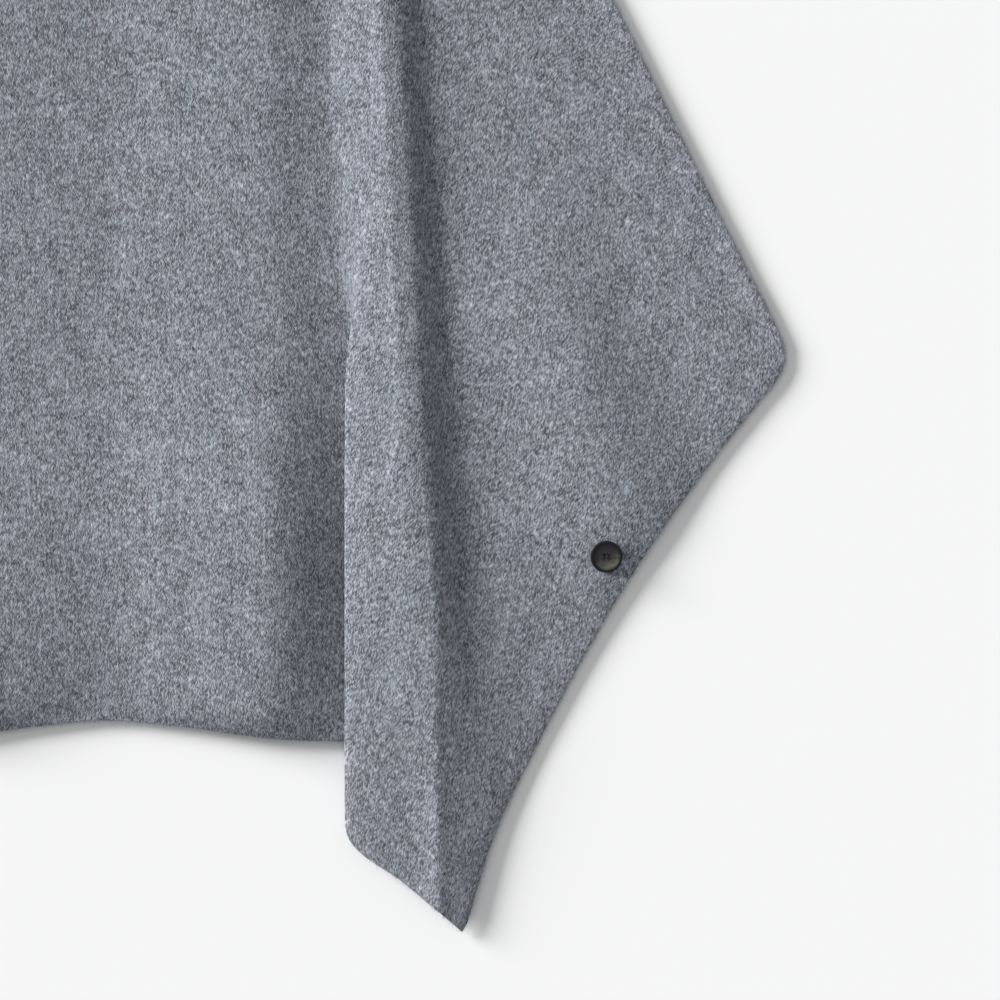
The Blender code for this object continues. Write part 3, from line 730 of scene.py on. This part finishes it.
# %% [markdown]
# ## Back panel
#
# The back lies flat on the table under the front, so it keeps a flat underside. A grid that follows
# the same courses fills it, a little inside the front's side edges and above its own straight hem.

# %% Back panel grid
NECK_SHARE = 0.12  # share of the rows over which the neckline's curve flattens out


def back_outline():
    """Rows of the back panel from neck to hem: y at the centre, and x and y at its side."""
    rows = []
    ends = [(course.end_x, course.end_y) for course in COURSES]
    corner = max(ends)
    hem_side_y = BACK_HEM_Y - BACK_HEM_DROP
    for i, (x, y) in enumerate(ends):
        if y >= corner[1] + 1:
            rows.append((x, y))
            continue
        before = ends[i - 1]
        run = math.hypot(x - before[0], y - before[1])
        inward = ((y - before[1]) / run, -(x - before[0]) / run)
        if y > hem_side_y:
            rows.append((x + inward[0] * BACK_INSET, y + inward[1] * BACK_INSET))
            continue
        share = (hem_side_y - before[1]) / (y - before[1])
        rows.append((blend(before[0], x, share) - BACK_INSET, hem_side_y))
        break
    top = NECK_SIDE_Y - BACK_NECK_DEPTH
    centre = np.linspace(top, BACK_HEM_Y, len(rows))
    return np.column_stack([centre, rows])


def back_surface(row_steps, columns):
    rows = back_outline()
    knots = np.arange(len(rows), dtype=float)
    rows = monotone_curve(knots, rows, np.linspace(0, knots[-1], row_steps))
    across = np.linspace(-1.0, 1.0, columns)
    grid = np.zeros((row_steps, columns, 3))
    for i, (centre_y, side_x, side_y) in enumerate(rows):
        neck = max(1 - i / (NECK_SHARE * row_steps), 0.0)
        bend = blend(np.abs(across), 1 - np.sqrt(np.maximum(1 - across**2, 0.0)), neck)
        grid[i, :, 0] = side_x * across
        grid[i, :, 1] = centre_y + (side_y - centre_y) * bend
    grid[:, :, 2] = CLOTH / 2
    return grid + ORIGIN


back_points = back_surface(120, 141)
back_flat = back_points[:, :, :2] - back_points[0, back_points.shape[1] // 2, :2]
back = add_cloth("poncho_back", back_points, back_flat, "back_panel")
print("back panel", back_points.shape[:2])

# %% [markdown]
# ## Neckband
#
# A single strip of the same knit is sewn round the neck opening. It butts against the front's own
# edge and lies flat over the back's, so its seam row is taken from the front grid, and it turns
# over at each side of the neck.

# %% Neckband grid
BAND_ROWS = 12


def neckband_grid(front_edge, turn_steps, back_steps, shares):
    """Rows of points round the neckband's middle surface, from its seam to its free edge, in mm."""
    back_z = CLOTH / 2
    turn = (front_edge[0, 2] - back_z) / 2
    fold_x, fold_y = NECK_HALF_WIDTH - turn - CLOTH / 2, NECK_SIDE_Y + 2 * SEAM_GAP
    rise = BAND_WIDTH * BAND_LEAN
    narrowing = 1 - rise / NECK_HALF_WIDTH
    along = np.gradient(front_edge[:, :2], axis=0)
    along /= np.linalg.norm(along, axis=1)[:, None]
    inward = np.column_stack([-along[:, 1], along[:, 0], 0 * along[:, 0]])
    front = front_edge + 2 * SEAM_GAP * inward

    def turned_over(side):
        """The turn between front and back at one side of the neck, down on the right."""
        turns = [math.pi * i / turn_steps for i in range(turn_steps + 1)]
        return [(side * fold_x, fold_y, back_z + turn * (1 + side * math.cos(angle)),
                 BACK_NECK_DEPTH, turn * math.sin(angle)) for angle in turns]

    ring = [(x, y, z, FRONT_NECK_DEPTH, 0.0) for x, y, z in front if abs(x) < fold_x]
    ring += turned_over(1)
    for i in range(1, back_steps):
        angle = math.pi * i / back_steps
        y = fold_y - BACK_NECK_DEPTH * math.sin(angle)
        ring.append((fold_x * math.cos(angle), y, back_z, BACK_NECK_DEPTH, 0.0))
    ring += turned_over(-1)
    x, y, z, depth, bulge = np.array(ring).T
    free_x = x * narrowing
    free_y = NECK_SIDE_Y + rise - (depth - BAND_WIDTH + rise) * np.sqrt(1 - (x / fold_x) ** 2)
    lean = math.atan2(fold_x * (1 - narrowing), NECK_SIDE_Y + rise - fold_y)
    out_x, out_y = bulge * np.sign(x) * math.cos(lean), bulge * math.sin(lean)
    seam = np.column_stack([x + out_x, y + out_y, z])
    free = np.column_stack([free_x + out_x, free_y + out_y, z])
    return np.array([blend(seam, free, share) for share in shares])


band_shares = np.linspace(0, 1, BAND_ROWS)
band_points = neckband_grid(front_grid[0, :, :3], 8, 60, band_shares) + ORIGIN
round_run = piece_lengths(band_points[BAND_ROWS // 2])
band_flat = np.zeros((*band_points.shape[:2], 2))
band_flat[:, 1:, 1] = np.cumsum(round_run)
band_flat[:, :, 0] = np.linspace(0, BAND_WIDTH, BAND_ROWS)[:, None]
band = add_cloth("poncho_neckband", band_points, band_flat, "neckband", closed=True)
print("neckband round the neck:", round(round_run.sum()), "mm")

# %% [markdown]
# ## Buttons
#
# Polished horn is dark with olive and brown clouds. A button is turned on a lathe and drilled, so
# it is made the same way: a profile spun round an axis, and four pins taken out by a Boolean.

# %% Horn material
HORN_BODY, HORN_CLOUD, HORN_RIM = srgb(42, 38, 42), srgb(84, 88, 74), srgb(13, 12, 14)

horn_group, inside, out = new_group("horn_clouds", {"Radius": 0.01}, ("Cloud", "Rim", "Height"))
t = horn_group
veins = node(t, "Mapping", {
    "Vector": inside.outputs["Vector"], "Rotation": (0.0, 0.0, 0.6),
    "Scale": (150.0, 330.0, 200.0)})
cloud = node(t, "TexNoise", {
    "Vector": veins.outputs[0], "Scale": 1.0, "Detail": 4.0, "Distortion": 1.4}).outputs[0]
axes = node(t, "SeparateXYZ", {0: inside.outputs["Vector"]})
across, down = (maths(t, "DIVIDE", axes.outputs[k], inside.outputs["Radius"]) for k in (0, 1))
paler_side = maths(t, "MULTIPLY_ADD", across, 0.35, maths(t, "MULTIPLY", down, -1.0))
squares = [maths(t, "MULTIPLY", share, share) for share in (across, down)]
feed(t, out, {
    "Cloud": maths(t, "MULTIPLY", ramp(t, cloud, 0.3, 0.68), ramp(t, paler_side, -0.25, 0.75)),
    "Rim": ramp(t, maths(t, "SQRT", maths(t, "ADD", *squares)), 0.7, 0.88),
    "Height": cloud,
})

horn, tree, shader = new_material("dark_horn", {"Specular IOR Level": 0.32})
place = node(tree, "TexCoord").outputs["Object"]
sockets = {"Vector": place, "Radius": BUTTON_RADIUS * MM}
clouds = node(tree, "Group", sockets, node_tree=horn_group)
body = mix_colours(tree, clouds.outputs["Cloud"], HORN_BODY, HORN_CLOUD)
feed(tree, shader, {
    "Base Color": mix_colours(tree, clouds.outputs["Rim"], body, HORN_RIM),
    "Roughness": maths(tree, "MULTIPLY_ADD", clouds.outputs["Rim"], 0.24, 0.3),
    "Normal": bump(tree, clouds.outputs["Height"], strength=0.2, rise=0.1),
})
print(horn.name, "ready")

# %% Turned and drilled button
DISH_DEPTH = 0.9
HOLE_RADIUS = 0.95
HOLE_PITCH = 2.8
HOLE_AT = (-HOLE_PITCH / 2, HOLE_PITCH / 2)  # the holes lie at these x and y
LATHE_STEPS, DRILL_STEPS = 64, 20
DRILL_LENGTH = 0.02  # m, longer than the button is thick
SHARP_EDGE = 38.0  # degrees; edges that turn more than this stay crisp
SEAT_GAP = 0.1  # between the button and the highest cloth under it
BUTTONS = (("button_right", 310.0, -204.2, 0.0), ("button_left", -307.0, -206.0, 2.2))


def button_profile():
    """Points of the turned outline, from the middle of the top round to the middle of the base."""
    thick, dish = BUTTON_THICKNESS, BUTTON_THICKNESS - DISH_DEPTH
    rows = (
        (0.00, dish), (0.46, dish), (0.64, dish + 0.12), (0.76, dish + 0.42),
        (0.83, thick - 0.18), (0.88, thick), (0.94, thick), (0.98, thick - 0.22),
        (1.00, 0.62 * thick), (0.97, 0.25 * thick), (0.80, 0.0), (0.00, 0.0),
    )
    return [(BUTTON_RADIUS * share, height) for share, height in rows]


def finished(shape, name):
    """The mesh of a bmesh that is done."""
    mesh = bpy.data.meshes.new(name)
    shape.to_mesh(mesh)
    shape.free()
    return mesh


def button_mesh(name):
    blank = bmesh.new()
    rows = [blank.verts.new((r * MM, 0.0, z * MM)) for r, z in button_profile()]
    edges = [blank.edges.new(pair) for pair in zip(rows, rows[1:])]
    bmesh.ops.spin(blank, geom=rows + edges, cent=(0, 0, 0), axis=(0, 0, 1),
                   angle=math.tau, steps=LATHE_STEPS, use_merge=True)
    bmesh.ops.remove_doubles(blank, verts=blank.verts, dist=1e-6)
    bmesh.ops.recalc_face_normals(blank, faces=blank.faces)
    mesh = finished(blank, name)
    mesh.shade_smooth()
    return mesh


def thread_holes(obj):
    """Drills the four holes into the button's own mesh."""
    pins = bmesh.new()
    for x in HOLE_AT:
        for y in HOLE_AT:
            bmesh.ops.create_cone(
                pins, cap_ends=True, segments=DRILL_STEPS, radius1=HOLE_RADIUS * MM,
                radius2=HOLE_RADIUS * MM, depth=DRILL_LENGTH,
                matrix=Matrix.Translation((x * MM, y * MM, 0)))
    cutter = place_object("pins", finished(pins, "pins"))
    cutter.matrix_world = obj.matrix_world
    with_settings(obj.modifiers.new("thread_holes", "BOOLEAN"),
                  operation="DIFFERENCE", object=cutter)
    bpy.context.view_layer.update()
    result = obj.evaluated_get(bpy.context.evaluated_depsgraph_get())
    drilled = bpy.data.meshes.new_from_object(result)
    obj.modifiers.clear()
    drilled.set_sharp_from_angle(angle=math.radians(SHARP_EDGE))
    obj.data = drilled
    bpy.data.objects.remove(cutter)


def surface_frame(x, y, radius):
    """The front's surface round a point of the layout: its place, normal and greatest bulge."""
    points = front_points.reshape(-1, 3) - ORIGIN
    near = points[np.hypot(points[:, 0] - x, points[:, 1] - y) < radius]
    base = np.column_stack([near[:, :2] - (x, y), np.ones(len(near))])
    slope_x, slope_y, height = np.linalg.lstsq(base, near[:, 2], rcond=None)[0]
    bulge = max(near[:, 2] - base @ (slope_x, slope_y, height))
    return Vector((x, y, height)), Vector((-slope_x, -slope_y, 1.0)).normalized(), bulge


button_objects = {}
for name, x, y, spin in BUTTONS:
    place, normal, bulge = surface_frame(x, y, 1.3 * BUTTON_RADIUS)
    button = new_object(button_mesh(name + "_horn"), horn)
    turn = Vector((0.0, 0.0, 1.0)).rotation_difference(normal).to_matrix().to_4x4()
    seat = (place + normal * (bulge + CLOTH / 2 + SEAT_GAP) + Vector(ORIGIN)) * MM
    button.matrix_world = Matrix.Translation(seat) @ turn @ Matrix.Rotation(spin, 4, "Z")
    thread_holes(button)
    declare(button, "horn", name)
    button_objects[name] = button
    print(name, "at", [round(v / MM, 1) for v in button.matrix_world.translation])

# %% [markdown]
# ## Sewing thread
#
# A sewn button shows two bars of thread, each of a few strands that come up through one hole and
# go down the next. They are tubes swept along an arch, one for each strand.

# %% Thread through the button holes
THREAD_RADIUS = 0.13
STRANDS = (-0.22, 0.02, 0.25)  # where the strands of a bar lie, across it
STRAND_STEPS = 13
ARCH_HEIGHT, ARCH_FALL = 0.28, 0.25  # the outer strands of a bar stand lower
THREAD_DIVE = 1.1  # how far the strands go down into the holes
SKEW = (0.37, 0.61, 0.70)  # a direction that no strand or fibre follows


def tube_rings(path, radius, sides):
    """Rings of points round a path of points, each square to the path there."""
    along = unit(np.gradient(path, axis=0))
    side = unit(np.cross(along, SKEW))
    up = np.cross(along, side)
    radius = np.broadcast_to(radius, (len(path),))[:, None, None]
    turns = np.linspace(0, math.tau, sides, endpoint=False)[None, :, None]
    return path[:, None] + radius * (np.cos(turns) * side[:, None] + np.sin(turns) * up[:, None])


def tube_mesh(name, paths, radius, sides):
    """One mesh of closed tubes along many paths of the same number of points, in metres."""
    steps = len(paths[0])
    points = np.concatenate([tube_rings(path, radius, sides) for path in paths])
    quads = grid_quads(steps, sides, True)[:, [0, 3, 2, 1]]
    starts = np.arange(len(paths))[:, None, None] * steps * sides
    faces = (quads + starts).reshape(-1, 4).tolist()
    for start in starts.ravel().tolist():
        last = start + (steps - 1) * sides
        faces += [list(range(start + sides - 1, start - 1, -1)), list(range(last, last + sides))]
    return smooth_mesh(name, points, faces)


def strand_path(across, offset):
    """One strand: up from one hole, over the bridge between and down the next, in metres."""
    height = ARCH_HEIGHT - ARCH_FALL * abs(offset)
    turn = np.linspace(math.pi, 0.0, STRAND_STEPS)
    x = np.full(STRAND_STEPS, across) + offset * (0.6 + 0.4 * np.sin(turn))
    y = HOLE_AT[1] * 0.9 * np.sign(np.cos(turn)) * np.abs(np.cos(turn)) ** 0.7
    floor = BUTTON_THICKNESS - DISH_DEPTH + THREAD_RADIUS * 0.6
    dive = THREAD_DIVE * (np.abs(np.cos(turn)) > 0.99)
    return np.column_stack([x, y, floor + height * np.sin(turn) ** 0.6 - dive]) * MM


thread, tree, shader = new_material(
    "dark_sewing_thread", {"Roughness": 0.7, "Specular IOR Level": 0.2})
place = node(tree, "TexCoord").outputs["Object"]
twist = node(tree, "TexWave", {"Vector": place, "Scale": 1400.0},
             bands_direction="DIAGONAL")
strand_colour = mix_colours(tree, twist.outputs["Fac"], srgb(12, 11, 13), srgb(34, 30, 31))
feed(tree, shader, {"Base Color": strand_colour})

for name, button in button_objects.items():
    strands = [strand_path(x, offset) for x in HOLE_AT for offset in STRANDS]
    bars = new_object(tube_mesh(name + "_thread", strands, THREAD_RADIUS * MM, 8), thread)
    bars.matrix_world = button.matrix_world
    declare(bars, "horn")
    print(bars.name, len(strands), "strands")

# %% [markdown]
# ## Loose fibres
#
# Felted wool is never bare: short curled fibres stand out of its face and hang over its raw
# edges. Each is a thin three-sided tube, and a fixed seed places them, so every run gives the same.

# %% Fibres
FIBRE_SEED = 11
FACE_FIBRES, EDGE_FIBRES = ((13500, 7500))
FACE_FIBRE_RADIUS, EDGE_FIBRE_RADIUS = 0.075, 0.05
FIBRE_TAPER = np.array([1.0, 0.8, 0.3])
STEEPEST = 0.55  # faces whose normal rises less than this are inside a pleat
UP = np.array([0.0, 0.0, 1.0])


def fibre_paths(roots, headings, lengths, lifts, dip, rng):
    """Curled paths of three points that leave their roots along headings, in mm."""
    headings = unit(headings)
    side = unit(np.cross(headings, UP))
    curl = rng.normal(0.0, 0.28, len(roots))[:, None]
    rows = []
    for share, bow in ((0.0, 0.0), (0.55, 1.0), (1.0, 0.8)):
        forward = headings * (lengths * share)[:, None]
        sideways = side * curl * (lengths * share**2)[:, None]
        rows.append(roots + forward + sideways + UP * (lifts * bow - dip)[:, None])
    return np.stack(rows, axis=1)


def swung(heading, to_the_side, spread, rng):
    """Headings swung to either side by random angles."""
    swing = rng.normal(0.0, spread, len(heading))[:, None]
    return heading * np.cos(swing) + to_the_side * np.sin(swing)


def face_fibres(points, count, rng):
    """Fibres that stand out of the upper face, more or less along the wales."""
    rows, columns = points.shape[:2]
    i, j = rng.uniform(2, rows - 3, count), rng.uniform(2, columns - 3, count)
    a, b = i.astype(int), j.astype(int)
    u, v = (i - a)[:, None], (j - b)[:, None]
    here, over, below = points[a, b], points[a, b + 1], points[a + 1, b]
    place = blend(blend(here, over, v), blend(below, points[a + 1, b + 1], v), u)
    wale = unit(below - here)
    normal = unit(np.cross(below - here, over - here))
    normal *= np.sign(normal[:, 2:3])
    heading = swung(wale, unit(np.cross(normal, wale)), 0.75, rng)
    lengths, lifts = rng.uniform(1.4, 4.0, count), rng.uniform(0.15, 0.5, count)
    paths = fibre_paths(place + normal * (CLOTH / 2), heading, lengths, lifts, 0.06, rng)
    return paths[normal[:, 2] > STEEPEST]


def edge_fibres(edge, inner, count, rng):
    """Fibres that hang over an edge, given as two neighbouring lines of the grid."""
    along = running_length(piece_lengths(edge))
    at = rng.uniform(0, along[-1], count)
    place, within = (np.stack([np.interp(at, along, line[:, k]) for k in range(3)], axis=-1)
                     for line in (edge, inner))
    outward = unit(place - within)
    heading = swung(outward, unit(np.cross(outward, UP)), 0.7, rng)
    heading[:, 2] *= 0.2
    place[:, 2] += rng.uniform(-0.35, 0.4, count) * CLOTH
    lengths, lifts = rng.uniform(0.8, 2.6, count) ** 1.1, rng.uniform(-0.1, 0.3, count)
    return fibre_paths(place + outward * (CLOTH * 0.1), heading, lengths, lifts, 0.0, rng)


fibre_wool, tree, shader = new_material(
    "loose_wool", {"Roughness": 0.95, "Specular IOR Level": 0.15})
place = node(tree, "TexCoord").outputs["Object"]
spots = ramp(tree, noise(tree, place, 1.6, 2.4, detail=2.0), 0.35, 0.65)
feed(tree, shader, {
    "Base Color": mix_colours(tree, spots, srgb(104, 109, 118), srgb(198, 203, 212))})

fibre_rng = np.random.default_rng(FIBRE_SEED)
face_paths = face_fibres(front_points, FACE_FIBRES, fibre_rng)
edges = ((front_points[-1], front_points[-3]), (front_points[:, 0], front_points[:, 2]),
         (front_points[:, -1], front_points[:, -3]))
runs = [piece_lengths(edge).sum() for edge, _ in edges]
edge_paths = np.concatenate([
    edge_fibres(edge, inner, int(EDGE_FIBRES * run / sum(runs)), fibre_rng)
    for (edge, inner), run in zip(edges, runs)])
for name, paths, radius in (("poncho_face_fibres", face_paths, FACE_FIBRE_RADIUS),
                            ("poncho_edge_fibres", edge_paths, EDGE_FIBRE_RADIUS)):
    mesh = tube_mesh(name, paths * MM, FIBRE_TAPER * radius * MM, 3)
    declare(new_object(mesh, fibre_wool), "wool")
    print(name, len(paths), "fibres")

# %% [markdown]

# %%


# %% [markdown]
# ## Table, light and camera
#
# The garment lies on a pale table. A soft key light comes from the upper left, low enough for the
# folds to show, and a pale world fills the shadows. The camera looks straight down at the lower
# right part of the garment through a long lens.

# %% Table
TABLE_HALF = 40.0  # m, so that its rim lies past every view
TABLE_DROP = 0.0002  # m, so that it doesn't touch the back panel's underside

corners = [(x * TABLE_HALF, y * TABLE_HALF, 0) for x, y in ((-1, -1), (1, -1), (1, 1), (-1, 1))]
table_mesh = bpy.data.meshes.new("table")
table_mesh.from_pydata(corners, [], [(0, 1, 2, 3)])
paper, tree, shader = new_material("pale_table", {
    "Base Color": (0.9, 0.9, 0.9, 1.0), "Roughness": 0.9, "Specular IOR Level": 0.0})
table = new_object(table_mesh, paper)
table.location.z = -TABLE_DROP
print(table.name, 2 * TABLE_HALF, "m wide")

# %% Light
KEY_ELEVATION, KEY_AZIMUTH, KEY_ANGLE = 22.0, 152.0, 27.0
TOP_ELEVATION, TOP_ANGLE = 80.0, 45.0
KEY_STRENGTH, TOP_STRENGTH, FILL_STRENGTH = 4.80, 0.46, 0.315


def add_sun(name, elevation, angle, strength):
    """A sun whose light comes from the key's azimuth at this elevation, in degrees."""
    light = with_settings(bpy.data.lights.new(name, "SUN"), energy=strength,
                          angle=math.radians(angle))
    a, e = math.radians(KEY_AZIMUTH), math.radians(elevation)
    source = Vector((math.cos(a) * math.cos(e), math.sin(a) * math.cos(e), math.sin(e)))
    with_settings(place_object(name, light), location=source * 2, rotation_mode="QUATERNION",
                  rotation_quaternion=source.to_track_quat("Z", "Y"))
    print(name, elevation, "degrees up, strength", strength)


add_sun("key_light", KEY_ELEVATION, KEY_ANGLE, KEY_STRENGTH)
add_sun("top_light", TOP_ELEVATION, TOP_ANGLE, TOP_STRENGTH)
world = bpy.data.worlds.new("pale_studio")
scene.world = world
world.use_nodes = True
feed(world.node_tree, world.node_tree.nodes["Background"], {
    "Color": (0.98, 0.99, 1.0, 1.0), "Strength": FILL_STRENGTH})
scene.view_settings.view_transform = "Standard"

# %% Camera
VIEW_WIDTH = 625.0  # mm of the garment that the view spans
VIEW_X, VIEW_Y = 243.75, -169.25 + LAYOUT_Y
CAMERA_HEIGHT = 6.0  # m
SENSOR_WIDTH = 36.0

camera_data = with_settings(
    bpy.data.cameras.new("camera"), type="PERSP", sensor_width=SENSOR_WIDTH,
    lens=SENSOR_WIDTH * CAMERA_HEIGHT / (VIEW_WIDTH * MM), clip_start=0.1, clip_end=100.0)
camera = place_object("camera", camera_data)
camera.location = (VIEW_X * MM, VIEW_Y * MM, CAMERA_HEIGHT)
bpy.context.scene.camera = camera
print(f"lens {camera_data.lens:.0f} mm")
